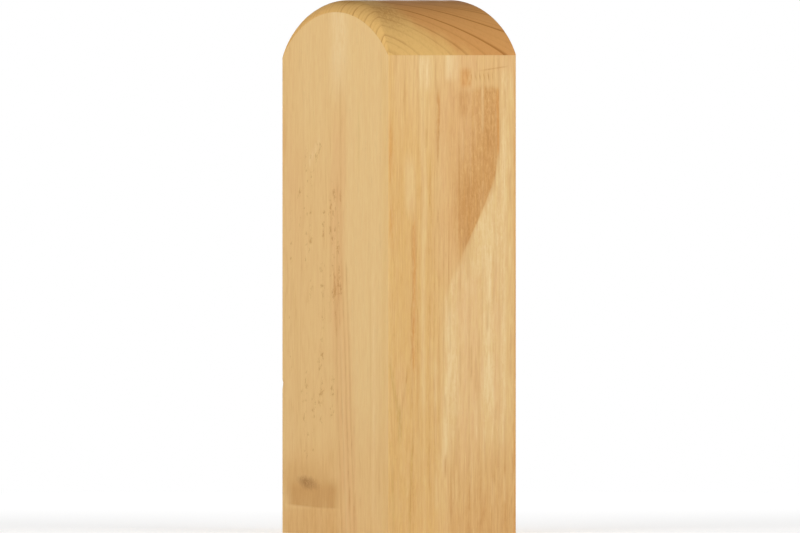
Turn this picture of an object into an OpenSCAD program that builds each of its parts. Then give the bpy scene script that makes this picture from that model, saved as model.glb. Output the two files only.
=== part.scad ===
// Newel post: the top length of a square planed softwood post, in one solid.
// The crown is a barrel whose axis runs front to back (along Y), so the front and
// back faces end in an arch and the two side faces end in a level shoulder.
// Towards the front and back faces the crown's ridge rounds down to the lower arch.
// Millimetres, +Z up, with the origin at the middle of the underside.

/* [Post] */
// Width across the arched front face
post_w = 90; // [70:1:150]
// Depth from the front face to the back face
post_d = 90; // [70:1:150]
// Height from the underside to the shoulders of the crown
shoulder_h = 258; // [100:1:2400]
// Rounding of the four long edges
arris_r = 0.6; // [0.2:0.1:4]

/* [Crown] */
// Rise of the barrel's own curve above the shoulders
barrel_rise = 32.2; // [26:0.1:42]
// Rise of the arch that shows on the front and back faces
arch_rise = 24.4; // [16:0.1:32]
// How much higher the ridge stands than the arch on the faces
ridge_drop = 6.4; // [3:0.1:8]
// How far in from each face the ridge starts to round down
ease_depth = 9.2; // [8:0.1:20]
// How far the crown's axis lies off the middle of the post
crown_shift = 0.4; // [-1.5:0.1:1.5]

/* [Hidden] */
$fn = 96;

// Radius of an arc of a given rise over a given width
function arc_r(width, rise) = (width * width / 4 + rise * rise) / (2 * rise);

// The barrel: its radius and the height of its axis
barrel_r = arc_r(post_w, barrel_rise);
barrel_z = shoulder_h + barrel_rise - barrel_r;

// The arch: its radius on the faces, the height of its axis, and the ridge's radius
arch_r = arc_r(post_w, arch_rise);
arch_z = shoulder_h + arch_rise - arch_r;
ridge_r = arch_r + ridge_drop;

// The rounding of the ridge is an arc that drops ridge_drop over ease_depth
ease_r = (ease_depth * ease_depth + ridge_drop * ridge_drop) / (2 * ridge_drop);
ease_y = post_d / 2 - ease_depth;

// Stock that the cutting shapes leave on every side of the blank
spare = 10;
blank_h = shoulder_h + barrel_rise + spare;

// Section of the planed timber, with its long edges eased
module section() {
    square([post_w - 2 * arris_r, post_d], center = true);
    square([post_w, post_d - 2 * arris_r], center = true);
    for (x = [-1, 1], y = [-1, 1])
        translate([x * (post_w / 2 - arris_r), y * (post_d / 2 - arris_r)])
            circle(r = arris_r);
}

// Everything from the underside up to the height top
module stock_below(top) {
    translate([0, 0, top / 2])
        cube([post_w + 2 * spare, post_d + 2 * spare, top], center = true);
}

// Turns a shape about Z into one about the crown's axis, at the height z
module on_crown_axis(z) {
    translate([crown_shift, 0, z]) rotate([90, 0, 0]) children();
}

// The barrel that leaves the level shoulders
module barrel_form() {
    stock_below(barrel_z);
    on_crown_axis(barrel_z)
        cylinder(r = barrel_r, h = post_d + 2 * spare, center = true);
}

// Half section of the arch form: full radius along the ridge, rounded at both ends
module arch_profile() {
    ridge_l = 2 * ease_y;
    translate([0, -ease_y]) square([ridge_r, ridge_l]);
    translate([0, -ease_y - ease_r]) square([ridge_r - ease_r, ridge_l + 2 * ease_r]);
    for (y = [-ease_y, ease_y])
        translate([ridge_r - ease_r, y]) circle(r = ease_r);
}

// The arch form that rounds the ridge down to the faces
module arch_form() {
    stock_below(arch_z);
    on_crown_axis(arch_z) rotate_extrude() arch_profile();
}

// The post: the planed blank, cut by the barrel and by the arch form
module newel_post() {
    color([0.86, 0.69, 0.48])
    intersection() {
        linear_extrude(height = blank_h) section();
        barrel_form();
        arch_form();
    }
}

newel_post();
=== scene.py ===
"""Newel post: the looks of one planed softwood timber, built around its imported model.

Formulas work in millimetres in the model's own frame: +Z up the post, -Y out of the front face,
which ends in an arch, and +X out of the right face, which ends in a level shoulder. Meshes, lamps
and camera are in metres.
"""

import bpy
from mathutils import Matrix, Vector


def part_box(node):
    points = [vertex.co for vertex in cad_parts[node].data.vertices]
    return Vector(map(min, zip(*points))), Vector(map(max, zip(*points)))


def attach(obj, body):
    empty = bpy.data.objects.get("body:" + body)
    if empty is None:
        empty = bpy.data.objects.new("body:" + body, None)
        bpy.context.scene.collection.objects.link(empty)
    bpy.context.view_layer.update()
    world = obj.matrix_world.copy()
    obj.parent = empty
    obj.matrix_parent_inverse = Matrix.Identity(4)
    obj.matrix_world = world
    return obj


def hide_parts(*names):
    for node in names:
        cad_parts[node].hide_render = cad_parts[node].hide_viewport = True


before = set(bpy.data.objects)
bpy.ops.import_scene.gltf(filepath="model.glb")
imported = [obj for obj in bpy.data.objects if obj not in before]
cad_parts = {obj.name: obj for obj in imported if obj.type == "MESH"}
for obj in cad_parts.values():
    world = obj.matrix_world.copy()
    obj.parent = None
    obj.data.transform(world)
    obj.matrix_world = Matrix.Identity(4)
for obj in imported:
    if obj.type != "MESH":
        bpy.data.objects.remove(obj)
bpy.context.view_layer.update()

import logging
import math
from dataclasses import dataclass, replace
from enum import Enum
from typing import Any, Callable, Optional, Union

import bpy
import numpy as np
from mathutils import Vector

LOG = logging.getLogger("newel_post")
MM = 0.001
POST_NODE = "newel_post"
WHITE = (1.0, 1.0, 1.0, 1.0)
BLACK = (0.0, 0.0, 0.0, 1.0)

# The Mix node's inputs for a share and two colours, and its colour output.
MIX_SHARE, MIX_BASE, MIX_TOP, MIX_COLOUR = 0, 6, 7, 2

Socket = bpy.types.NodeSocket


# ---- Shader trees, and maths that works both on numpy arrays and on the surface ----


class Tree:
    """A shader node tree that is written as Python expressions."""

    def __init__(self, node_tree: bpy.types.NodeTree) -> None:
        """Takes the tree of a material or of the world, and empties it."""
        self.tree = node_tree
        self.tree.nodes.clear()

    def node(
        self, kind: str, settings: Optional[dict] = None, inputs: Optional[dict] = None
    ) -> bpy.types.Node:
        """Adds one node of any type.

        Args:
            kind: its type, without the ShaderNode prefix.
            settings: properties that are set first.
            inputs: a number, colour, Value or socket for each input.

        Returns:
            The new node.
        """
        made = self.tree.nodes.new("ShaderNode" + kind)
        for name, setting in (settings or {}).items():
            setattr(made, name, setting)
        for name, value in (inputs or {}).items():
            self._feed(made.inputs[name], value)
        return made

    def _feed(self, socket: Socket, value: Any) -> None:
        """Links a Value or a socket to an input, or sets the input to a constant.

        Args:
            socket: the input.
            value: the Value, socket, number or colour.
        """
        if isinstance(value, Value):
            self.tree.links.new(value.socket, socket)
        elif isinstance(value, Socket):
            self.tree.links.new(value, socket)
        else:
            socket.default_value = value

    def math(self, operation: str, *terms: "Number") -> "Value":
        """One Math node of the terms, as a Value."""
        made = self.node("Math", {"operation": operation}, dict(enumerate(terms)))
        return Value(self, made.outputs[0])

    def mix(self, share: "Number", base: Any, top: Any, blend: str = "MIX") -> Socket:
        """Mixes two colours.

        Args:
            share: how much of the top shows, from 0 to 1.
            base: the colour or socket where share is 0.
            top: the colour or socket where share is 1.
            blend: how the top is laid on.

        Returns:
            The mixed colour's socket.
        """
        settings = {"data_type": "RGBA", "blend_type": blend, "clamp_factor": True}
        inputs = {MIX_SHARE: share, MIX_BASE: base, MIX_TOP: top}
        return self.node("Mix", settings, inputs).outputs[MIX_COLOUR]

    def attribute(self, name: str, output: str = "Fac") -> Socket:
        """An attribute of the mesh, as a number or, from its Color output, as a colour."""
        return self.node("Attribute", {"attribute_name": name}).outputs[output]

    def noise(self, place: Socket, detail: float = 2.0, bend: float = 0.0) -> "Value":
        """Soft noise of about 0 to 1, with features one unit of the place apart, bent about itself."""
        inputs = {"Vector": place, "Scale": 1.0, "Detail": detail, "Roughness": 0.55, "Distortion": bend}
        return Value(self, self.node("TexNoise", None, inputs).outputs["Fac"])


def joined(kind: str, swapped: bool = False) -> Callable[["Value", "Number"], "Value"]:
    """An operator of Value.

    Args:
        kind: the operation of its Math node.
        swapped: whether the other term comes first.

    Returns:
        A method that joins the Value and the other term.
    """

    def join(this: "Value", other: "Number") -> "Value":
        """The two terms in one Math node."""
        return this.tree.math(kind, *((other, this) if swapped else (this, other)))

    return join


class Value:
    """A number that varies over a surface: one output of a shader tree, with Python's operators."""

    def __init__(self, tree: Tree, socket: Socket) -> None:
        """Wraps a socket of a tree."""
        self.tree = tree
        self.socket = socket

    __add__ = __radd__ = joined("ADD")
    __mul__ = __rmul__ = joined("MULTIPLY")
    __sub__, __rsub__ = joined("SUBTRACT"), joined("SUBTRACT", swapped=True)
    __truediv__, __rtruediv__ = joined("DIVIDE"), joined("DIVIDE", swapped=True)

    def __neg__(self) -> "Value":
        """-self."""
        return self.tree.math("MULTIPLY", self, -1.0)

    def __abs__(self) -> "Value":
        """The absolute value."""
        return self.tree.math("ABSOLUTE", self)


Number = Union[float, np.ndarray, Value]


def sine(angle: Number) -> Number:
    """Sine of an angle in radians, for arrays and for surfaces."""
    return angle.tree.math("SINE", angle) if isinstance(angle, Value) else np.sin(angle)


def root(value: Number) -> Number:
    """Square root, for arrays and for surfaces."""
    return value.tree.math("SQRT", value) if isinstance(value, Value) else np.sqrt(value)


def growth(value: Number) -> Number:
    """e to the power of the value, for arrays and for surfaces."""
    return value.tree.math("EXPONENT", value) if isinstance(value, Value) else np.exp(value)


def fraction(value: Number) -> Number:
    """What is left of the value above the next lower whole number."""
    return value.tree.math("FRACT", value) if isinstance(value, Value) else value - np.floor(value)


def smooth(value: Number, low: float, high: float) -> Number:
    """A smooth step: 0 at low, 1 at high, and flat beyond them.

    Args:
        value: what it is taken over.
        low: where it is 0, which may be the larger.
        high: where it is 1.

    Returns:
        t * t * (3 - 2 t), where t is the share of the way from low to high.
    """
    if isinstance(value, Value):
        settings = {"interpolation_type": "SMOOTHSTEP"}
        made = value.tree.node("MapRange", settings, {"Value": value, "From Min": low, "From Max": high})
        return Value(value.tree, made.outputs[0])
    share = np.clip((value - low) / (high - low), 0.0, 1.0)
    return share * share * (3.0 - 2.0 * share)


def bell(value: Number, middle: Number, reach: float) -> Number:
    """A bell curve of height 1 at the middle, and e to the power of -1 at reach from it."""
    off = (value - middle) / reach
    return growth(-(off * off))


def soft_floor(value: Number, width: float) -> Number:
    """The value where it is well above 0 and 0 where it is well below, rounded over the width."""
    return (value + root(value * value + width * width)) * 0.5


def tone(red: int, green: int, blue: int) -> tuple[float, float, float, float]:
    """A colour as it is seen, turned into the linear values that a shader takes.

    Args:
        red: its red, from 0 to 255.
        green: its green.
        blue: its blue.

    Returns:
        Linear red, green, blue and alpha, by the sRGB curve: c / 12.92 near black, and
        ((c + 0.055) / 1.055) to the power of 2.4 above it.
    """
    seen = (np.array([red, green, blue]) / 255.0).tolist()
    linear = [c / 12.92 if c <= 0.04045 else ((c + 0.055) / 1.055) ** 2.4 for c in seen]
    return (*linear, 1.0)


def put_in_scene(name: str, data: bpy.types.ID) -> bpy.types.Object:
    """Makes an object and links it to the scene.

    Args:
        name: its name.
        data: its mesh, lamp or camera.

    Returns:
        The object.
    """
    made = bpy.data.objects.new(name, data)
    bpy.context.scene.collection.objects.link(made)
    return made


@dataclass(frozen=True)
class Place:
    """A point of the timber in millimetres: arrays of vertices, or the surface's own place."""

    x: Number
    y: Number
    z: Number


# ---- The timber: its rings, and the marks that both its relief and its colour follow ----


@dataclass(frozen=True)
class GrowthRings:
    """The tree's rings: nested shells about a pith that lies well outside this post."""

    front_y: float
    pith_x: float = -184.0
    pith_y: float = 97.0
    spacing: float = 2.7
    front_turn: float = 8.0
    front_reach: float = 18.0
    sway: float = 0.35
    sway_length: float = 210.0
    sway_lean: float = 0.021
    sway_start: float = 0.8
    unevenness: float = 0.24
    beat: float = 2.1
    late_from: float = 0.56
    late_full: float = 0.9
    late_end: float = 0.94
    bold_step: float = 2.2
    bold_start: float = 1.97

    def radius(self, at: Place) -> Number:
        """How far from the pith a place grew, in millimetres.

        Args:
            at: the place.

        Returns:
            The distance from the pith plus a slow sway along the post. A term that dies away
            behind the front face turns the rings square to it.
        """
        across = at.x - self.pith_x
        along = at.y - self.pith_y
        turn = growth((at.y - self.front_y) * (-1.0 / self.front_reach)) * self.front_turn
        angle = at.z * (math.tau / self.sway_length) + at.y * self.sway_lean + self.sway_start
        return root(across * across + along * along) - turn + sine(angle) * self.sway

    def count(self, at: Place) -> Number:
        """How many rings lie inside a place: wide and narrow rings follow each other."""
        even = self.radius(at) / self.spacing
        return even + sine(even * self.beat) * self.unevenness

    def latewood(self, count: Number) -> Number:
        """The dark share of each ring: it grows slowly outwards and ends at once."""
        part = fraction(count)
        return smooth(part, self.late_from, self.late_full) * smooth(part, 1.0, self.late_end)

    def boldness(self, count: Number) -> Number:
        """How strong each ring's latewood is, from 0 to 1: one or two faint ones between bold ones."""
        wave = sine((count - fraction(count)) * self.bold_step + self.bold_start)
        return wave * wave * wave * wave


@dataclass(frozen=True)
class Knot:
    """A small pin knot in the front face, with the brown stain round it."""

    x: float = -24.0
    z: float = 27.6
    radius: float = 7.2
    stain_left: float = -41.0
    stain_right: float = 6.0
    stain_low: float = 13.6
    stain_high: float = 32.0
    stain_fade: float = 9.0
    stain_bend: float = -14.0
    stain_upturn: float = 0.06

    def distance(self, at: Place) -> Number:
        """How far a place is from the knot's middle.

        Args:
            at: the place.

        Returns:
            The distance over the knot's radius, on an ellipse longer across than it is high.
        """
        across = (at.x - self.x) / (self.radius * 1.5)
        up = (at.z - self.z + (at.x - self.x) * 0.16) / (self.radius * 0.62)
        return root(across * across + up * up)

    def heart(self, at: Place, ragged: Number = 0.0) -> Number:
        """The dark middle: 1 at the centre and 0 outside, with its edge moved by ragged."""
        return smooth(self.distance(at) + ragged, 1.1, 0.2)

    def stain(self, at: Place) -> Number:
        """The brown stain round the knot.

        Args:
            at: the place, on the front face.

        Returns:
            1 inside. Its lower edge is sharp and turns up to the left of its bend, and it dies
            away above and to the sides.
        """
        sides = smooth(at.x, self.stain_left - 3.0, self.stain_left + 7.0)
        sides = sides * smooth(at.x, self.stain_right, self.stain_right - self.stain_fade)
        low = self.stain_low + soft_floor(self.stain_bend - at.x, 3.0) * self.stain_upturn
        sides = sides * smooth(at.z - low, -0.5, 1.3)
        return sides * smooth(at.z, self.stain_high, self.stain_high - self.stain_fade)


@dataclass(frozen=True)
class Heartwood:
    """The brown heartwood on the right face: a tongue that runs out down and forwards."""

    top: float = 242.6
    back: float = 33.6
    knee: float = 194.0
    slant: float = 0.61
    front: float = 4.6
    tip: float = -9.0
    foot: tuple[float, float] = (146.0, 158.0)
    crisp: tuple[float, float] = (206.0, 172.0)
    ticks_z: float = 247.6
    saw_z: float = 248.2
    saw_slope: float = 0.12

    def back_edge(self, at: Place) -> Number:
        """Where the patch ends at the back: upright, then slanting, then upright below its tip."""
        slanting = self.back - soft_floor(self.knee - at.z, 11.0) * self.slant
        return soft_floor(slanting - self.tip, 3.0) + self.tip

    def patch(self, at: Place, wander: Number) -> Number:
        """The patch itself.

        Args:
            at: the place, on the right face.
            wander: a small number in millimetres that moves the edges about.

        Returns:
            1 inside, with a sharp edge at the back and a soft one at the top and in front, where
            it grows crisp lower down. It starts over the heights of its foot.
        """
        inside = smooth(self.back_edge(at) - at.y + wander * 0.22, -0.6, 1.0)
        inside = inside * smooth(self.top - at.z + wander * 1.2, -1.0, 4.0)
        inside = inside * smooth(at.z, *self.foot)
        soft_front = smooth(at.y + wander * 1.4, self.front - 8.0, self.front + 10.0)
        crisp_front = smooth(at.y + wander * 1.3, self.front - 7.0, self.front + 6.0)
        low_down = smooth(at.z, *self.crisp)
        return inside * (soft_front * (1.0 - low_down) + crisp_front * low_down)


@dataclass(frozen=True)
class FleckRow:
    """A file of small dark pits down the front face, where fibres tore out under the planer."""

    across: float
    low: float
    high: float
    count: int
    length: float = 1.0


# Each row's place across, its lower and upper ends, how many pits it has, and how many times as
# long as wide they are, about, where that isn't 1.
FLECK_PLACES = (
    (-30, 160, 204, 14), (-25, 146, 214, 18), (-20.6, 122, 206, 30), (-16, 196, 220, 14),
    (-10.8, 88, 178, 30), (-4.4, 112, 182, 18, 1.6), (-1.4, 118, 196, 20, 2.2),
    (3.4, 128, 194, 16, 2.6), (-12.4, 60, 100, 28), (-2.2, 62, 92, 16), (-25, 42, 90, 26),
    (-19, 40, 78, 14), (-37, 60, 180, 16),
)


@dataclass(frozen=True)
class Flecks:
    """All the pits of the front face."""

    rows: tuple[FleckRow, ...] = tuple(FleckRow(*row) for row in FLECK_PLACES)
    seed: int = 11
    scatter: float = 0.9
    depth: float = 0.06

    def field(self, x: np.ndarray, z: np.ndarray) -> np.ndarray:
        """How deep in a fleck each vertex of the front face is.

        Args:
            x: the vertices' places across the face.
            z: their heights.

        Returns:
            From 0 to 1: the largest of the flecks' bell curves, which lean a little.
        """
        draw = np.random.default_rng(self.seed)
        depth = np.zeros(x.shape)
        for row in self.rows:
            across = row.across + draw.normal(0.0, self.scatter, row.count)
            height = draw.uniform(row.low, row.high, row.count)
            wide = draw.uniform(0.8, 1.5, row.count)
            tall = wide * row.length * draw.uniform(0.7, 1.4, row.count)
            strength = draw.uniform(0.3, 1.0, row.count)
            off_x = (x[..., None] - across) / wide
            off_z = (z[..., None] - height + (x[..., None] - across) * 0.4) / tall
            depth = np.maximum(depth, (strength * np.exp(-(off_x**2) - off_z**2)).max(axis=-1))
        return depth


@dataclass(frozen=True)
class Timber:
    """What grew in the timber, and what happened to it."""

    rings: GrowthRings
    knot: Knot = Knot()
    heartwood: Heartwood = Heartwood()
    flecks: Flecks = Flecks()
    grain_relief: float = 0.035
    knot_rim: float = 0.04
    rim_middle: float = 1.05
    rim_reach: float = 0.3
    knot_dip: float = 0.03
    nick_z: float = 80.8
    nick_depth: float = 0.7
    nick_reach: tuple[float, float, float] = (1.3, 1.6, 1.1)


# ---- The post's form ----


@dataclass
class PostForm:
    """The post's outline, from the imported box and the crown's own sizes, in millimetres."""

    width: float
    depth: float
    height: float
    barrel_rise: float = 32.2
    arch_rise: float = 24.4
    ridge_drop: float = 6.4
    ease_depth: float = 9.2
    crown_shift: float = 0.4
    arris: float = 0.4
    crown_arris: float = 0.25
    blend: float = 0.5

    @classmethod
    def from_box(cls, low: Vector, high: Vector) -> "PostForm":
        """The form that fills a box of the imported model, given by its corners in metres."""
        size = (high - low) / MM
        return cls(size.x, size.y, size.z)

    @property
    def shoulder(self) -> float:
        """Height of the shoulders."""
        return self.height - self.arch_rise - self.ridge_drop

    @staticmethod
    def arc_radius(width: float, rise: float) -> float:
        """Radius of an arc of a given rise over a given width."""
        return (width * width / 4.0 + rise * rise) / (2.0 * rise)

    def inside(self, x: np.ndarray, y: np.ndarray) -> np.ndarray:
        """How far each point of the plan lies from the nearest long face."""
        return np.minimum(self.width / 2 - np.abs(x), self.depth / 2 - np.abs(y))

    def in_corner(self, places: np.ndarray, size: float) -> np.ndarray:
        """How far places go into the arris at either end of a size, and 0 where they don't."""
        return np.clip(np.abs(places) - size / 2 + self.arris, 0.0, None)

    def crown_height(self, x: np.ndarray, y: np.ndarray) -> np.ndarray:
        """Height of the crown over each point of the plan.

        The barrel is a circle across x. The arch form is a larger circle about a lower axis,
        whose radius drops along an arc near the front and back faces. The crown is the lower of
        the two, blended over a small height, less an eased edge.

        Args:
            x: places across the post.
            y: places along its depth.

        Returns:
            The heights.
        """
        off = x - self.crown_shift
        barrel_r = self.arc_radius(self.width, self.barrel_rise)
        barrel = np.sqrt(barrel_r**2 - off**2) + self.shoulder + self.barrel_rise - barrel_r
        arch_r = self.arc_radius(self.width, self.arch_rise)
        ease_r = (self.ease_depth**2 + self.ridge_drop**2) / (2.0 * self.ridge_drop)
        past = np.clip(np.abs(y) - self.depth / 2.0 + self.ease_depth, 0.0, None)
        ridge_r = arch_r + self.ridge_drop - ease_r + np.sqrt(ease_r**2 - past**2)
        arch = np.sqrt(ridge_r**2 - off**2) + self.shoulder + self.arch_rise - arch_r
        share = np.clip(1.0 - np.abs(barrel - arch) / self.blend, 0.0, 1.0)
        crown = np.minimum(barrel, arch) - share**2 * self.blend / 4.0
        short = np.clip(self.crown_arris - self.inside(x, y), 0.0, self.crown_arris)
        return crown - self.crown_arris + np.sqrt(self.crown_arris**2 - short**2)

    @staticmethod
    def spaced(half: float, cells: int, reach: float = 1.6, corner_cells: int = 7) -> np.ndarray:
        """Places from -half to half, close together near both ends.

        Args:
            half: half of the length.
            cells: how many cells the length has.
            reach: how long the close stretch at each end is.
            corner_cells: how many of the cells lie in each close stretch.

        Returns:
            The places, one more than there are cells. In the close stretches they go with the
            power of 1.5 of their number.
        """
        near = reach * np.linspace(0.0, 1.0, corner_cells + 1) ** 1.5
        middle = np.linspace(-half + reach, half - reach, cells - 2 * corner_cells + 1)
        return np.concatenate([-half + near[:-1], middle, (half - near)[::-1][1:]])

    def plan(self, cells_x: int, cells_y: int) -> tuple[np.ndarray, np.ndarray]:
        """A grid over the post's section, whose square corners are rounded to the arris.

        Args:
            cells_x: its cells across.
            cells_y: its cells along the depth.

        Returns:
            The grid's x and y. In each corner's cell a and b run from 0 to 1, and become
            a * sqrt(1 - b * b / 2) and b * sqrt(1 - a * a / 2), which turns a square into a disc.
        """
        places = self.spaced(self.width / 2, cells_x), self.spaced(self.depth / 2, cells_y)
        x, y = np.meshgrid(*places, indexing="ij")
        a = self.in_corner(x, self.width) / self.arris
        b = self.in_corner(y, self.depth) / self.arris
        x = x - np.sign(x) * self.arris * a * (1.0 - np.sqrt(1.0 - b * b / 2.0))
        y = y - np.sign(y) * self.arris * b * (1.0 - np.sqrt(1.0 - a * a / 2.0))
        return x, y


@dataclass
class PostTimber:
    """The whole post as one closed mesh: crown grid, sides and a flat underside."""

    form: PostForm
    timber: Timber
    cells_x: int = 140
    cells_y: int = 124
    rows: int = 150
    fade: float = 1.5
    sanding: float = 0.12
    true_edge: float = 4.0
    row_bunching: float = 0.12

    @staticmethod
    def _rim(grid: np.ndarray) -> np.ndarray:
        """A grid's outer ring, from its front left corner, anticlockwise seen from above."""
        return np.concatenate([grid[:-1, 0], grid[-1, :-1], grid[:0:-1, -1], grid[0, :0:-1]])

    def _ring_relief(self, at: Place) -> np.ndarray:
        """How far the soft early wood lies below the hard late wood.

        Args:
            at: the vertices' places.

        Returns:
            The depths in millimetres.
        """
        rings = self.timber.rings
        count = rings.count(at)
        hard = rings.latewood(count) * rings.boldness(count)
        return self.timber.grain_relief * (1.0 - hard)

    def _relief(self, at: Place, top: np.ndarray) -> tuple[np.ndarray, np.ndarray]:
        """How far the sides' surface lies below the planed faces.

        Args:
            at: the vertices' places on the sides.
            top: the height of the side's upper edge above each vertex.

        Returns:
            The depths in millimetres, which die away towards the upper and lower edges, and the
            flecks.
        """
        wood, knot = self.timber, self.timber.knot
        on_front = (at.y < -self.form.depth / 2 + 1e-3).astype(float)
        flecks = wood.flecks.field(at.x, at.z) * on_front
        rim = bell(knot.distance(at), wood.rim_middle, wood.rim_reach)
        dish = wood.knot_rim * rim + wood.knot_dip * knot.heart(at)
        reach_x, reach_y, reach_z = wood.nick_reach
        nick = bell(at.x, -self.form.width / 2, reach_x) * bell(at.y, -self.form.depth / 2, reach_y)
        nick = nick * bell(at.z, wood.nick_z, reach_z)
        depth = self._ring_relief(at) + wood.flecks.depth * flecks
        depth = depth + dish * on_front + wood.nick_depth * nick
        kept = smooth(top - at.z, 0.0, self.fade) * smooth(at.z, 0.0, self.fade)
        return depth * kept, flecks

    def _crown(self, x: np.ndarray, y: np.ndarray) -> np.ndarray:
        """The crown's heights over a plan grid, less the unevenness of hand sanding.

        Args:
            x: the grid's places across.
            y: the grid's places along the depth.

        Returns:
            The heights. The sanding is two crossed waves about 30 and 37 mm long, and dies away
            towards the edges, which stay true.
        """
        form = self.form
        height = form.crown_height(x, y)
        hand = np.sin(x * 0.21 + np.sin(y * 0.13) * 1.7) * np.sin(y * 0.17 + x * 0.05 + 1.0)
        low = self.sanding * (0.5 + 0.5 * hand) + self._ring_relief(Place(x, y, height))
        return height - low * smooth(form.inside(x, y), 0.0, self.true_edge)

    def _sides(
        self, rim_x: np.ndarray, rim_y: np.ndarray, rim_z: np.ndarray
    ) -> tuple[np.ndarray, np.ndarray]:
        """The sides' vertices: rows from the underside up to just below the crown's rim.

        Args:
            rim_x: the rim's places across.
            rim_y: its places along the depth.
            rim_z: its heights.

        Returns:
            The vertices and their flecks. Each vertex is moved inwards by the relief, square to
            its face, or towards the middle of the arris at a corner.
        """
        form = self.form
        share = np.linspace(0.0, 1.0, self.rows + 1)[:-1, None]
        share = share - self.row_bunching * np.sin(math.tau * share) / math.tau
        z = share * rim_z
        x, y, top = (np.broadcast_to(values, z.shape) for values in (rim_x, rim_y, rim_z))
        depth, flecks = self._relief(Place(x, y, z), top)
        out_x = form.in_corner(rim_x, form.width) * np.sign(rim_x)
        out_y = form.in_corner(rim_y, form.depth) * np.sign(rim_y)
        length = np.hypot(out_x, out_y)
        side = np.stack([x - depth * out_x / length, y - depth * out_y / length, z], axis=-1)
        return side.reshape(-1, 3), flecks

    def build(self) -> bpy.types.Object:
        """Makes the mesh.

        Returns:
            The post's object, with its mesh in the frame's own place. Its mesh holds two
            attributes: end_grain on the faces of the crown and the underside, and fleck on the
            vertices.
        """
        x, y = self.form.plan(self.cells_x, self.cells_y)
        crown = self._crown(x, y)
        index = np.arange(crown.size).reshape(crown.shape)
        rim = self._rim(index)
        side, flecks = self._sides(*(self._rim(grid) for grid in (x, y, crown)))
        crown_points = np.stack([x, y, crown], axis=-1).reshape(-1, 3)
        points = np.concatenate([crown_points, side])

        rows = crown.size + np.arange(self.rows * len(rim)).reshape(self.rows, len(rim))
        rows = np.concatenate([rows, rim[None]])
        ahead = np.roll(rows, -1, axis=1)
        sides = np.stack([rows[:-1], ahead[:-1], ahead[1:], rows[1:]], axis=-1).reshape(-1, 4)
        corners = [index[:-1, :-1], index[1:, :-1], index[1:, 1:], index[:-1, 1:]]
        top = np.stack(corners, axis=-1).reshape(-1, 4)
        faces = top.tolist() + sides.tolist() + [rows[0, ::-1].tolist()]

        mesh = bpy.data.meshes.new("post_timber")
        mesh.from_pydata((points * MM).tolist(), [], faces)
        mesh.polygons.foreach_set("use_smooth", np.ones(len(faces), bool))
        end_grain = np.zeros(len(faces), np.float32)
        end_grain[: len(top)] = 1.0
        end_grain[-1] = 1.0
        mesh.attributes.new("end_grain", "FLOAT", "FACE").data.foreach_set("value", end_grain)
        fleck = np.concatenate([np.zeros(crown.size), flecks.ravel()]).astype(np.float32)
        mesh.attributes.new("fleck", "FLOAT", "POINT").data.foreach_set("value", fleck)
        self._sharpen(mesh, rim, rows[0])
        mesh.update()
        return put_in_scene("post_timber", mesh)

    @staticmethod
    def _sharpen(mesh: bpy.types.Mesh, *loops: np.ndarray) -> None:
        """Marks the edges of closed loops of vertices as sharp.

        Args:
            mesh: the mesh.
            loops: each loop's vertices.
        """
        ends = np.empty(len(mesh.edges) * 2, np.int32)
        mesh.edges.foreach_get("vertices", ends)
        ends = ends.reshape(-1, 2)
        sharp = np.zeros(len(ends), bool)
        for loop in loops:
            sharp |= np.isin(ends, loop).all(axis=1)
        mesh.attributes.new("sharp_edge", "BOOLEAN", "EDGE").data.foreach_set("value", sharp)


# ---- The finish ----


class Hue(Enum):
    """The tones of the bare wood, as they are seen, and two tones of painted shade for the crown's upper
    part and its ridge.
    """

    PLAIN = tone(222, 184, 127)
    GOLD = tone(217, 174, 110)
    PALE = tone(225, 191, 135)
    CREAM = tone(232, 204, 153)
    PINK = tone(220, 176, 123)
    TAN = tone(208, 161, 102)
    LINE = tone(198, 146, 88)
    ORANGE = tone(206, 143, 76)
    OLIVE = tone(190, 149, 82)
    HEART = tone(212, 164, 105)
    HEART_DARK = tone(194, 141, 82)
    STAIN = tone(197, 151, 94)
    KNOT = tone(128, 84, 44)
    FLECK = tone(174, 121, 62)
    END_GOLD = tone(220, 178, 109)
    END_RED = tone(207, 151, 89)
    END_AMBER = tone(226, 174, 106)
    END_LINE = tone(164, 106, 52)
    # Painted shade for the crown's upper part, where less light falls.
    END_DEEP = tone(158, 96, 44)
    # Painted shade along the crown's ridge.
    RIDGE = tone(124, 72, 36)


@dataclass(frozen=True)
class Wash:
    """A soft patch of another tone on one face: a band with faded sides and ends."""

    hue: Hue
    across: float
    half: float
    low: float
    high: float
    strength: float = 0.6
    side: float = 5.0
    ends: float = 24.0
    lean: float = 0.0

    def mask(self, across: Number, z: Number, wander: Number) -> Number:
        """The patch's strength over its face.

        Args:
            across: the place across the face.
            z: the height.
            wander: how far its sides wander, in millimetres.

        Returns:
            The strength, which fades over side at the sides and ends at the ends.
        """
        middle = (z - self.low) * self.lean + self.across if self.lean else self.across
        off = abs(across - middle + wander)
        inside = smooth(off, self.half + self.side / 2, self.half - self.side / 2)
        height = z + wander * (self.ends / 8.0)
        inside = inside * smooth(height, self.low - self.ends / 2, self.low + self.ends / 2)
        inside = inside * smooth(height, self.high + self.ends / 2, self.high - self.ends / 2)
        return inside * self.strength


@dataclass(frozen=True)
class Streak:
    """A line of another tone that runs down one face, leaning and dying away at its ends."""

    hue: Hue
    across: float
    low: float
    high: float
    width: float
    strength: float = 0.6
    lean: float = 0.0
    ends: float = 16.0

    def mask(self, across: Number, z: Number, wander: Number) -> Number:
        """The streak's strength over its face.

        Args:
            across: the place across the face.
            z: the height.
            wander: how far the line wanders, in millimetres.

        Returns:
            A bell curve across the line, which fades at its ends.
        """
        line = wander * 0.4 + self.across
        if self.lean:
            line = line + (z - self.low) * self.lean
        shape = bell(across, line, self.width) * self.strength
        shape = shape * smooth(z, self.low, self.low + self.ends)
        return shape * smooth(z, self.high, self.high - self.ends)


Mark = Union[Wash, Streak]


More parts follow.
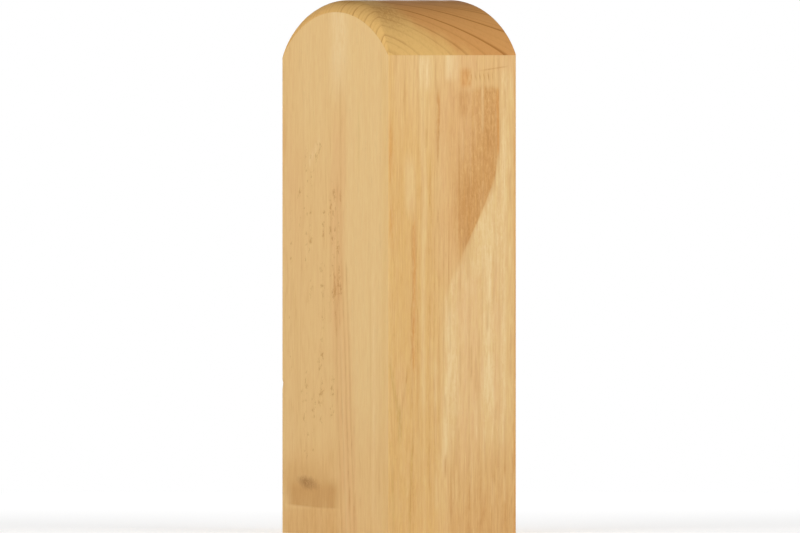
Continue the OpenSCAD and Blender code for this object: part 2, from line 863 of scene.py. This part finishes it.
def each(kind: type, hue: Hue, *rows: tuple[float, ...]) -> tuple[Mark, ...]:
    """Marks of one kind and one hue, each from a row of its other sizes."""
    return tuple(kind(hue, *row) for row in rows)


def fine_lines(
    seed: int, count: int, low: float, high: float, strength: float, longest: float = 190.0
) -> tuple[Streak, ...]:
    """Fine straight lines of grain, scattered over a stretch of a face's width.

    Args:
        seed: the seed of the draw.
        count: how many.
        low: one side of the stretch.
        high: its other side.
        strength: the strongest one's strength.
        longest: the longest one's length.

    Returns:
        The lines, dark and pale in turn.
    """
    draw = np.random.default_rng(seed)
    lines = []
    for i in range(count):
        hue = (Hue.LINE, Hue.CREAM, Hue.LINE, Hue.PALE)[i % 4]
        across, middle = draw.uniform(low, high), draw.uniform(10.0, 250.0)
        length, width = longest * draw.uniform(0.26, 1.0), draw.uniform(0.45, 0.9)
        share = strength * draw.uniform(0.3, 1.0)
        low_end, high_end = middle - length / 2, middle + length / 2
        lines.append(Streak(hue, across, low_end, high_end, width, share, 0.0, length / 4))
    return tuple(lines)


# Each mark's places and sizes are in millimetres, and its other numbers are shares. Places across
# are x on the front and back faces and y on the left and right ones, and heights are z.
FRONT_MARKS: tuple[Mark, ...] = (
    *each(Wash, Hue.PALE, (28, 19, 60, 300, 0.75, 4, 60), (-20, 12, 215, 300, 0.5, 12, 40)),
    Wash(Hue.CREAM, 2.5, 7, 240, 310, 0.65, 9, 36),
    *each(Wash, Hue.PINK,
          (2.5, 5.5, 112, 222, 0.65, 5, 40), (-36, 9, 150, 215, 0.4, 10, 50),
          (13, 7, -30, 124, 0.6, 6, 40, -0.05)),
    *each(Wash, Hue.TAN,
          (-20, 21, 28, 44, 0.4, 12, 20), (-20, 22, -30, 14, 0.62, 6, 3),
          (-4.5, 2.4, -30, 26, 0.4, 1.6, 6)),
    Wash(Hue.GOLD, 41.5, 2, -20, 262, 0.4, 4, 30),
    *each(Streak, Hue.LINE,
          (-4, 110, 192, 0.8, 0.35), (1.4, 96, 200, 0.8, 0.5), (4.6, 118, 250, 0.7, 0.35)),
    *(Streak(Hue.LINE, 6.6 + 3.5 * i, -10, 154, 0.6, 0.55, -0.052) for i in range(4)),
    Streak(Hue.CREAM, 10.6, -10, 120, 0.8, 0.3, -0.052),
    *each(Streak, Hue.LINE,
          (12.4, 11, 27, 0.7, 0.45, 0, 5), (16.8, 9, 25, 0.7, 0.45, 0, 5), (29.6, 20, 140, 0.5, 0.3)),
    Streak(Hue.CREAM, 32, 0, 150, 1, 0.35),
    Streak(Hue.LINE, 37, 0, 110, 0.5, 0.25),
    Streak(Hue.OLIVE, 20, 190, 240, 0.5, 0.25),
    Streak(Hue.ORANGE, -43.6, 186, 240, 0.9, 0.35),
    *(Streak(Hue.CREAM, -22 + 2.6 * i, 197 + 3 * i, 207 + 3 * i, 0.8, 0.5, 0, 4) for i in range(4)),
    *fine_lines(3, 30, -43, 43, 0.12),
)

RIGHT_MARKS: tuple[Mark, ...] = (
    *each(Wash, Hue.GOLD,
          (-31, 23, -40, 226, 0.9, 16, 60), (42, 4, 40, 240, 0.6, 5, 30),
          (-43, 2.4, 190, 300, 0.7, 3, 40)),
    Wash(Hue.PINK, -2, 9, 142, 244, 0.6, 10, 30),
    Wash(Hue.TAN, 24, 27, -40, 34, 0.75, 10, 60),
    Wash(Hue.PALE, -18.5, 5, 240, 262, 0.95, 3, 8),
    *each(Wash, Hue.CREAM, (-19.5, 3, 242, 258, 0.9, 2, 6), (0.5, 5, 246, 262, 0.85, 3, 5)),
    Wash(Hue.PINK, 24, 22, 250, 262, 0.5, 8, 6),
    Streak(Hue.LINE, 29.4, 249, 262, 0.4, 0.45, 0, 1),
    Streak(Hue.PINK, 7, 246, 266, 0.7, 0.6, 0, 3),
    *each(Wash, Hue.PALE, (-20, 2, 160, 246, 0.85, 2.4, 26), (-30, 3.6, 172, 204, 0.8, 4, 16)),
    *each(Streak, Hue.PALE, (-20.4, 60, 178, 1.5, 0.9), (-20, -10, 80, 1, 0.5)),
    *each(Streak, Hue.ORANGE,
          (-43.2, 176, 236, 1.1, 0.6, 0, 30), (-42.8, 148, 188, 1.5, 0.5, 0, 20),
          (-27.6, 80, 180, 0.9, 0.8, 0.01, 16)),
    *each(Streak, Hue.LINE,
          (-28.9, 60, 182, 0.7, 0.7, 0.01), (-28, -10, 70, 0.5, 0.35), (-24, 40, 130, 0.5, 0.4),
          (-10.4, 196, 246, 1.9, 0.75, 0, 12)),
    Streak(Hue.ORANGE, -9.8, 214, 244, 1, 0.4, 0, 10),
    Streak(Hue.LINE, -10.6, 150, 210, 0.6, 0.5, 0, 22),
    *(Streak(Hue.LINE, -15.6 + 3.2 * i, 20 * i, 214 - 9 * i, 0.55, 0.42) for i in range(5)),
    *(Streak(Hue.PALE, -14 + 3.2 * i, 60, 206, 0.6, 0.3) for i in range(4)),
    Wash(Hue.PINK, -36.5, 3.5, 72, 92, 0.4, 3, 14),
    Streak(Hue.OLIVE, -37, 58, 102, 1.2, 0.62, -0.2, 16),
    Streak(Hue.LINE, -36.6, 64, 98, 0.9, 0.55, 0.2, 12),
    *each(Streak, Hue.OLIVE,
          (-37.4, 46, 76, 1.5, 0.75, 0, 12), (-31, -10, 60, 0.9, 0.4, 0.04),
          (-41, -10, 44, 0.8, 0.35, -0.03)),
    *each(Streak, Hue.CREAM,
          (-2.2, 76, 128, 1.5, 1, 0, 16), (-6.6, 26, 88, 1.5, 0.7, 0.05, 16), (1.8, 60, 120, 0.9, 0.6),
          (25.4, 98, 150, 1.4, 0.95, 0, 12), (25, 68, 102, 1.7, 1, 0.03, 10)),
    *each(Wash, Hue.PINK, (12, 9, 40, 138, 0.6, 6, 30), (32, 3, 60, 150, 0.5, 4, 20)),
    *each(Streak, Hue.CREAM, (36.5, 40, 230, 1, 0.45), (-4, 40, 92, 1.2, 0.4)),
    *each(Streak, Hue.LINE,
          (-5, 29, 45, 0.8, 0.85, 0, 6), (30.8, 4, 60, 0.7, 0.4), (37.4, -8, 74, 0.7, 0.45),
          (20.6, -8, 50, 0.7, 0.4), (12, -8, 66, 0.7, 0.35), (-29.8, -10, 44, 0.5, 0.5)),
    Streak(Hue.ORANGE, 44, -20, 262, 0.8, 0.6),
    *fine_lines(5, 34, -27, 43, 0.4),
    *fine_lines(6, 90, -22, 44, 0.6, 44),
)

HEARTWOOD_MARKS: tuple[Mark, ...] = (
    *each(Wash, Hue.HEART_DARK, (9.5, 6, 150, 200, 0.5, 6, 30), (25, 5, 184, 226, 0.4, 6, 24, 0.12)),
    Wash(Hue.PINK, 7, 9, 206, 256, 0.7, 18, 34),
    Wash(Hue.ORANGE, 9.4, 4, 242, 251.5, 0.6, 3, 4),
    Wash(Hue.HEART_DARK, 7.5, 3.4, 226, 240, 0.5, 4, 8),
    Wash(Hue.HEART, -0.5, 5, 154, 236, 0.45, 8, 40),
    *each(Streak, Hue.HEART_DARK,
          (4.4, 148, 228, 0.6, 0.65, 0, 30), (1.4, 146, 204, 0.5, 0.4, 0, 24),
          (8.2, 152, 236, 0.6, 0.5, 0, 20), (14.6, 170, 246, 0.6, 0.5, 0, 20)),
    Streak(Hue.ORANGE, 32.2, 200, 246, 0.8, 0.85, 0, 10),
)

LEFT_MARKS: tuple[Mark, ...] = (
    Wash(Hue.GOLD, 14, 20, -40, 170, 0.6, 24, 90),
    Wash(Hue.CREAM, -18, 8, 60, 262, 0.45, 14, 90),
    *each(Streak, Hue.LINE,
          (-30, 20, 262, 0.7, 0.45, 0.01), (-24, -10, 190, 0.7, 0.4, 0.015),
          (4, 60, 262, 0.8, 0.4, -0.02)),
    Streak(Hue.ORANGE, 27, -10, 130, 0.9, 0.4),
    *fine_lines(8, 40, -43, 43, 0.4),
)

BACK_MARKS: tuple[Mark, ...] = (
    Wash(Hue.PINK, -16, 16, 40, 262, 0.5, 20, 120),
    Wash(Hue.PALE, 26, 12, -40, 180, 0.6, 16, 120),
    *each(Streak, Hue.LINE,
          (-34, -10, 262, 0.8, 0.4, 0.01), (-8, 60, 262, 0.7, 0.45, -0.015),
          (12, -10, 200, 0.7, 0.35, 0.012)),
    Streak(Hue.CREAM, 34, 20, 240, 1.2, 0.4),
    *fine_lines(9, 40, -43, 43, 0.4),
)


@dataclass(frozen=True)
class Grain:
    """Noises that are drawn out along the post, from hair lines to tones as wide as a face."""

    fine: Value
    fibre: Value
    strand: Value
    band: Value
    slow: Value
    broad: Value
    short: Value
    blotch: Value
    speck: Value

    @classmethod
    def over(cls, tree: Tree, point: Socket) -> "Grain":
        """Makes the noises.

        Args:
            tree: the material's tree.
            point: the place in millimetres.

        Returns:
            The noises, each of about 0 to 1.
        """

        def drawn(across: float, along: float, detail: float, bend: float = 0.0) -> Value:
            """One noise.

            Args:
                across: how wide its features are, in millimetres.
                along: how long they are, in millimetres.
                detail: how many finer layers it has.
                bend: how far it is bent about itself.

            Returns:
                The noise.
            """
            sizes = (1.0 / across, 1.0 / across, 1.0 / along)
            place = tree.node("VectorMath", {"operation": "MULTIPLY"}, {0: point, 1: sizes})
            return tree.noise(place.outputs[0], detail, bend)

        return cls(
            fine=drawn(0.7, 11.0, 2.0, 0.6),
            fibre=drawn(2.2, 60.0, 3.0, 0.5),
            strand=drawn(4.0, 190.0, 1.0, 0.3),
            band=drawn(6.0, 150.0, 1.0),
            slow=drawn(14.0, 90.0, 1.0),
            broad=drawn(34.0, 120.0, 1.0),
            short=drawn(1.7, 13.0, 3.0, 0.5),
            blotch=drawn(1.7, 3.0, 3.0, 0.8),
            speck=drawn(0.8, 1.5, 2.0, 0.8),
        )


@dataclass
class Surface:
    """A surface that is being dressed: its place, its noises and its colour so far."""

    tree: Tree
    at: Place
    grain: Grain
    colour: Any

    def lay(self, share: Number, top: Any, blend: str = "MIX") -> None:
        """Lays a tone, or another colour, over the colour so far, as far as the share says."""
        top = top.value if isinstance(top, Hue) else top
        self.colour = self.tree.mix(share, self.colour, top, blend)

    def bare(self, hue: Hue) -> "Surface":
        """The same surface with one tone all over."""
        return replace(self, colour=hue.value)


@dataclass(frozen=True)
class PineFinish:
    """Bare planed softwood, dressed from the timber's own rings, heartwood, knot and marks.

    The wood's colour is laid in thin layers. In each layer the two numbers of a smooth step on a
    noise say where the noise starts to show and where it shows in full, and the other factors say
    how much of the layer's tone is laid.
    """

    timber: Timber
    form: PostForm
    roughness: float = 0.7
    gloss: float = 0.03
    bump_distance: float = 0.00022
    bump_strength: float = 0.3
    face_edge: tuple[float, float] = (0.7, 0.15)
    red_radius: tuple[float, float] = (252.0, 241.0)
    # Where the painted shade along the ridge starts and where it is full, in millimetres above the
    # shoulder.
    ridge_shade_rise: tuple[float, float] = (27.0, 31.0)

    def material(self) -> bpy.types.Material:
        """Makes the material.

        Returns:
            A material that reads Object coordinates and the mesh's own attributes.
        """
        made = bpy.data.materials.new("bare_pine")
        made.use_nodes = True
        tree = Tree(made.node_tree)
        point = tree.node("TexCoord").outputs["Object"]
        scaled = tree.node("VectorMath", {"operation": "SCALE"}, {0: point, "Scale": 1.0 / MM})
        split = tree.node("SeparateXYZ", None, {0: scaled.outputs[0]})
        at = Place(*(Value(tree, split.outputs[i]) for i in range(3)))
        names = ("end_grain", "fleck", "mark_share")
        end, fleck, marked = (Value(tree, tree.attribute(name)) for name in names)
        marks = tree.attribute("mark_tone", "Color")
        grain = Grain.over(tree, scaled.outputs[0])
        rings = self.timber.rings
        count = rings.count(at)
        late, bold = rings.latewood(count), rings.boldness(count)
        ring = late * (bold * 0.8 + 0.2)
        front, right = self._face(-at.y, self.form.depth), self._face(at.x, self.form.width)

        wood = Surface(tree, at, grain, Hue.PLAIN.value)
        self._long_grain(wood, ring, front)
        self._cream_wood(wood, right)
        self._heartwood(wood, self.timber.heartwood.patch(at, (grain.band - 0.5) * 7.0) * right)
        shown = smooth(grain.short, 0.35, 0.62) * 0.42 + smooth(grain.blotch, 0.35, 0.6) * 0.16 + 0.46
        wood.lay(marked * shown, BLACK)
        wood.lay(shown, marks, "ADD")
        self._knot(wood, front)
        wood.lay(smooth(fleck * 0.5 + grain.speck * 0.9, 0.62, 0.86) * 0.45, Hue.FLECK)
        hair = smooth(grain.fine, 0.25, 0.75)
        grey = tree.node("CombineColor", None, {0: hair, 1: hair, 2: hair}).outputs[0]
        wood.lay(0.09 - front * 0.04, grey, "OVERLAY")
        wood.lay(end, self._end_grain(wood.bare(Hue.END_GOLD), late, bold))

        rough = (grain.fine - 0.5) * 0.14 + self.roughness - ring * 0.05 + end * 0.1
        height = (grain.fine - 0.5) * 0.8 + ring * 0.3 + (grain.fibre - 0.5) * 0.9
        relief = {"Strength": self.bump_strength, "Distance": self.bump_distance, "Height": height}
        bump = tree.node("Bump", None, relief)
        inputs = {"Base Color": wood.colour, "Roughness": rough, "Normal": bump.outputs[0]}
        shader = tree.node("BsdfPrincipled", None, inputs)
        shader.inputs["Specular IOR Level"].default_value = self.gloss
        tree.node("OutputMaterial", None, {"Surface": shader.outputs[0]})
        return made

    def _face(self, out: Number, across: float) -> Number:
        """A mask of one long face, from the place towards it and the post's size that way."""
        return smooth(out, across / 2 - self.face_edge[0], across / 2 - self.face_edge[1])

    def paint(self, mesh: bpy.types.Mesh) -> None:
        """Lays every long face's marks on the mesh, in their order.

        The mesh gets two attributes on its vertices: mark_share, the share of the marks that
        shows, and mark_tone, their colour times that share. Each mark of strength m turns the
        share s into s + (1 - s) m and the colour c into c + (hue - c) m. The marks wander sideways
        by up to a millimetre, along two slow waves up the post.

        Args:
            mesh: the post's mesh.
        """
        places = np.empty(len(mesh.vertices) * 3, np.float32)
        mesh.vertices.foreach_get("co", places)
        x, y, z = places.reshape(-1, 3).T.astype(float) / MM
        wander = 0.7 * np.sin(z / 37.0 + (x + y) / 19.0) + 0.3 * np.sin(z / 11.0 + (x - y) / 9.0)
        width, depth = self.form.width, self.form.depth
        faces = (
            (self._face(-y, depth), x, FRONT_MARKS),
            (self._face(y, depth), x, BACK_MARKS),
            (self._face(-x, width), y, LEFT_MARKS),
            (self._face(x, width), y, RIGHT_MARKS + HEARTWOOD_MARKS),
        )
        hues, share = np.zeros((len(z), 3)), np.zeros(len(z))
        for face, across, marks in faces:
            on = face > 0.0
            for mark in marks:
                strength = face[on] * mark.mask(across[on], z[on], wander[on])
                hues[on] += (np.array(mark.hue.value[:3]) - hues[on]) * strength[:, None]
                share[on] += (1.0 - share[on]) * strength
        add = mesh.attributes.new
        add("mark_share", "FLOAT", "POINT").data.foreach_set("value", share)
        add("mark_tone", "FLOAT_VECTOR", "POINT").data.foreach_set("vector", hues.ravel())

    @staticmethod
    def _long_grain(wood: Surface, ring: Value, front: Value) -> None:
        """The four planed faces before their own marks, with the front face the calmest.

        Args:
            wood: the surface.
            ring: the latewood's strength.
            front: the mask of the front face.
        """
        grain, lively = wood.grain, 1.0 - front * 0.7
        wood.lay(smooth(grain.broad, 0.35, 0.65) * lively * 0.3, Hue.PALE)
        wood.lay(smooth(grain.band, 0.45, 0.7) * lively * 0.35, Hue.GOLD)
        wood.lay(ring * lively * 0.25, Hue.LINE)
        strands = smooth(abs(grain.strand - 0.5), 0.05, 0.0) * smooth(grain.slow, 0.3, 0.7)
        wood.lay(strands * lively * 0.4, Hue.LINE)
        wood.lay(smooth(grain.fibre, 0.56, 0.8) * lively * 0.3, Hue.LINE)
        wood.lay(smooth(grain.short, 0.52, 0.72) * front * 0.2, Hue.LINE)
        wood.lay(smooth(grain.fibre, 0.44, 0.25) * lively * 0.32, Hue.CREAM)

    def _cream_wood(self, wood: Surface, face: Value) -> None:
        """The pale, mottled wood behind and below the heartwood.

        Args:
            wood: the surface.
            face: the mask of the right face.
        """
        at, grain = wood.at, wood.grain
        behind = smooth(at.y - self.timber.heartwood.back_edge(at), -1.5, 3.0)
        behind = behind * smooth(at.z, 26.0, 84.0) * smooth(at.z, 262.0, 236.0)
        mottle = smooth(grain.short, 0.42, 0.64) * 0.45 + smooth(grain.blotch, 0.45, 0.62) * 0.3
        wood.lay(face * behind * 0.6, Hue.PALE)
        wood.lay(face * behind * mottle, Hue.CREAM)

    def _heartwood(self, wood: Surface, patch: Value) -> None:
        """The brown heartwood of the right face, with the ticks and the saw line above it.

        Args:
            wood: the surface.
            patch: the mask of the heartwood.
        """
        heart, at, grain = self.timber.heartwood, wood.at, wood.grain
        dark = smooth(grain.short, 0.4, 0.66) * 0.3 + smooth(grain.blotch, 0.4, 0.62) * 0.5
        dark = dark + smooth(at.z, 236.0, 180.0) * 0.2
        brown = wood.bare(Hue.HEART)
        brown.lay(dark, Hue.HEART_DARK)
        brown.lay(smooth(grain.blotch, 0.42, 0.28) * 0.35, Hue.PLAIN)
        wood.lay(patch * 0.92, brown.colour)
        ticks = smooth(sine(at.y * 2.1 + at.z * 0.35), 0.1, 0.9) * bell(at.z, heart.ticks_z, 2.4)
        ticks = ticks * smooth(at.y, 6.0, 10.0) * smooth(at.y, 31.0, 25.0)
        ticks = ticks * smooth(grain.blotch, 0.3, 0.5)
        saw = smooth(abs(at.z - heart.saw_z - at.y * heart.saw_slope), 0.7, 0.1)
        saw = saw * smooth(at.y, 15.0, 26.0) * smooth(at.y, 40.0, 38.0)
        cuts = wood.tree.math("MAXIMUM", ticks * 0.7, saw * 0.6)
        side = self.form.width / 2
        wood.lay(cuts * smooth(at.x, side - 1.0, side - 0.2), Hue.HEART_DARK)

    def _knot(self, wood: Surface, face: Value) -> None:
        """The pin knot and its stain.

        Args:
            wood: the surface.
            face: the mask of the front face.
        """
        knot, at, grain = self.timber.knot, wood.at, wood.grain
        ragged = (grain.blotch - 0.5) * 1.6 + (grain.slow - 0.5) * 0.8
        halo = smooth(knot.distance(at) + ragged * 0.6, 3.4, 0.9) * smooth(at.z, 14.0, 20.0)
        streaky = smooth(grain.slow, 0.3, 0.7) * 0.2 + smooth(grain.blotch, 0.3, 0.7) * 0.1 + 0.62
        wood.lay(face * halo * 0.4, Hue.STAIN)
        wood.lay(face * knot.stain(at) * streaky, Hue.STAIN)
        spots = smooth(grain.blotch + grain.speck * 0.3, 0.42, 0.78) * 0.75 + 0.25
        wood.lay(face * knot.heart(at, ragged) * spots * 0.62, Hue.KNOT)

    def _end_grain(self, wood: Surface, late: Value, bold: Value) -> Socket:
        """The crown and the underside, where the rings are cut across.

        Args:
            wood: the surface, in the tone of the outer wood.
            late: the dark share of each ring.
            bold: how strong each ring is.

        Returns:
            The colour's socket: golden outer wood and redder inner wood, amber to the left,
            painted shade that darkens it high up and browns it along the ridge, and a smudge near the
            front right corner.
            Every ring shows near the front face, and mostly the bold ones further back.
        """
        at, grain = wood.at, wood.grain
        crown = at.z - self.form.shoulder
        grown = self.timber.rings.radius(at) + (grain.slow - 0.5) * 10.0
        inner = smooth(grown, *self.red_radius)
        inner = inner * smooth(at.y + (grain.blotch - 0.5) * 6.0, -32.0, -14.0)
        wood.lay(inner, Hue.END_RED)
        wood.lay(smooth(at.x, 8.0, -16.0) * 0.5, Hue.END_AMBER)
        wood.lay(smooth(grain.blotch, 0.45, 0.75) * 0.12, Hue.END_LINE)
        near = growth((at.y + self.form.depth / 2) * (-1.0 / 10.0))
        near = near * (smooth(at.x, -6.0, 26.0) * 0.75 + 0.25)
        broken = smooth(grain.slow, 0.3, 0.62) * 0.6 + 0.4
        shown = near * broken * (root(bold) * 0.55 + 0.12) + bold * (inner * 0.75 + 0.06) + 0.05
        smudge = bell(at.y, -32.0, 9.0) * bell(at.x, 27.0, 9.0)
        wood.lay(smudge * (smooth(grain.blotch, 0.35, 0.6) * 0.3 + 0.2), Hue.END_LINE)
        wood.lay(late * shown, Hue.END_LINE)
        # Painted shade: the crown darkens towards its top, in place of the lesser light on its upward
        # faces.
        wood.lay(smooth(crown, 18.0, 30.0) * smooth(at.x, -12.0, 10.0) * 0.14, Hue.END_DEEP)
        # Painted shade along the ridge, broken up by the grain's noise so that it is patchy.
        patchy_shade = smooth(grain.slow + grain.blotch * 0.4, 0.5, 0.9) * 0.5 + 0.5
        wood.lay(smooth(crown, *self.ridge_shade_rise) * patchy_shade * 0.45, Hue.RIDGE)
        return wood.colour


# ---- The studio ----


class Lamp(Enum):
    """The soft lamps: each one's turn round the post and height, in degrees, and its watts."""

    LEFT = (8.0, 10.0, 16.4)
    RIGHT = (96.0, 10.0, 15.5)
    BACK = (230.0, 7.0, 18.0)


@dataclass
class Studio:
    """A pale floor, a white surround, soft lamps, and the camera at its viewing angle."""

    form: PostForm
    azimuth: float = 50.1
    elevation: float = 0.6
    lens: float = 1000.0
    sensor: float = 36.0
    picture: tuple = (800, 533)
    fill: float = 1.0005
    aside: float = 0.5
    lift: float = 144.45
    surround: float = 0.62
    top_cut: float = 0.8
    cut_height: float = 0.8
    lamp_distance: float = 1.6
    lamp_size: float = 1.1
    floor_half: float = 3.0
    floor_glow: float = 0.45
    floor_grey: tuple = (0.8, 0.8, 0.8, 1.0)
    floor_fade: tuple[float, float] = (0.25, 1.1)

    def _round(self, azimuth: float, elevation: float) -> Vector:
        """The direction from the post towards a place round it, with both angles in degrees."""
        turn, up = math.radians(azimuth), math.radians(elevation)
        return Vector((math.sin(turn) * math.cos(up), -math.cos(turn) * math.cos(up), math.sin(up)))

    def camera(self) -> None:
        """A long lens, level with the post's middle, that the post fills from top to bottom."""
        data = bpy.data.cameras.new("camera")
        data.lens, data.sensor_width = self.lens, self.sensor
        tall = self.form.height * MM / self.fill
        wide = tall * self.picture[0] / self.picture[1]
        distance = wide * self.lens / self.sensor
        data.clip_start, data.clip_end = 0.1, distance * 4.0
        back = self._round(self.azimuth, self.elevation)
        turn = math.radians(self.azimuth)
        right = Vector((math.cos(turn), math.sin(turn), 0.0))
        aim = Vector((0.0, 0.0, self.lift * MM)) + right * (self.aside * MM)
        camera = put_in_scene("camera", data)
        camera.location = aim + back * distance
        camera.rotation_mode = "QUATERNION"
        camera.rotation_quaternion = (-back).to_track_quat("-Z", "Y")
        bpy.context.scene.camera = camera

    @staticmethod
    def _seen(tree: Tree) -> Value:
        """Tells rays that are looked along from rays that only carry light.

        Args:
            tree: the tree to work in.

        Returns:
            1 for what the camera, a reflection or a see-through thing shows, and 0 for light.
        """
        path = tree.node("LightPath")
        kinds = ("Camera", "Glossy", "Transmission")
        rays = [Value(tree, path.outputs[f"Is {kind} Ray"]) for kind in kinds]
        return tree.math("MINIMUM", rays[0] + rays[1] + rays[2], 1.0)

    def world(self) -> None:
        """A surround that is white to look at, and lights the post softly, less from above."""
        world = bpy.data.worlds.new("surround")
        world.use_nodes = True
        bpy.context.scene.world = world
        tree = Tree(world.node_tree)
        way = tree.node("TexCoord").outputs["Generated"]
        up = tree.node("SeparateXYZ", None, {0: way}).outputs[2]
        light = (1.0 - smooth(Value(tree, up), 0.0, self.cut_height) * self.top_cut) * self.surround
        seen = self._seen(tree)
        strength = seen + (1.0 - seen) * light
        made = tree.node("Background", None, {"Color": WHITE, "Strength": strength})
        tree.node("OutputWorld", None, {"Surface": made.outputs[0]})

    def floor(self) -> None:
        """A pale floor that keeps the post's shadow, and fades to the white surround further out."""
        half = self.floor_half
        corners = [(-half, -half, 0.0), (half, -half, 0.0), (half, half, 0.0), (-half, half, 0.0)]
        mesh = bpy.data.meshes.new("studio_floor")
        mesh.from_pydata(corners, [], [(0, 1, 2, 3)])
        paint = bpy.data.materials.new("floor_paint")
        paint.use_nodes = True
        tree = Tree(paint.node_tree)
        split = tree.node("SeparateXYZ", None, {0: tree.node("TexCoord").outputs["Object"]})
        x, y = (Value(tree, split.outputs[i]) for i in range(2))
        far = smooth(root(x * x + y * y), *self.floor_fade)
        seen = self._seen(tree)
        matt = tree.node("BsdfDiffuse", None, {"Color": self.floor_grey})
        glow = tree.node("Emission", None, {"Color": WHITE, "Strength": seen * self.floor_glow})
        near = tree.node("AddShader", None, {0: matt.outputs[0], 1: glow.outputs[0]})
        white = tree.node("Emission", None, {"Color": WHITE, "Strength": 1.0})
        both = tree.node("MixShader", None, {0: seen * far, 1: near.outputs[0], 2: white.outputs[0]})
        tree.node("OutputMaterial", None, {"Surface": both.outputs[0]})
        mesh.materials.append(paint)
        floor = put_in_scene("studio_floor", mesh)

    def lamp(self, which: Lamp) -> None:
        """One large soft lamp that faces the post.

        Args:
            which: the lamp.
        """
        turn, height, power = which.value
        data = bpy.data.lights.new("lamp_" + which.name.lower(), "AREA")
        data.shape, data.size, data.energy = "SQUARE", self.lamp_size, power
        lamp = put_in_scene(data.name, data)
        away = self._round(turn, height)
        lamp.location = Vector((0.0, 0.0, self.lift * MM)) + away * self.lamp_distance
        lamp.rotation_mode = "QUATERNION"
        lamp.rotation_quaternion = (-away).to_track_quat("-Z", "Y")

    def build(self) -> None:
        """Makes the whole studio."""
        self.camera()
        self.world()
        self.floor()
        for which in Lamp:
            self.lamp(which)
        bpy.context.scene.view_settings.view_transform = "Standard"


def main() -> None:
    """Builds the studio and the post."""
    logging.basicConfig(level=logging.INFO, format="%(name)s: %(message)s")
    form = PostForm.from_box(*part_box(POST_NODE))
    timber = Timber(GrowthRings(front_y=-form.depth / 2))
    Studio(form).build()
    LOG.info("studio ready")

    post = PostTimber(form, timber).build()
    finish = PineFinish(timber, form)
    finish.paint(post.data)
    post.data.materials.append(finish.material())
    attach(post, "root")
    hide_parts(POST_NODE)
    LOG.info("%s: %d faces, %d vertices", post.name, len(post.data.polygons), len(post.data.vertices))


if __name__ == "__main__":
    main()
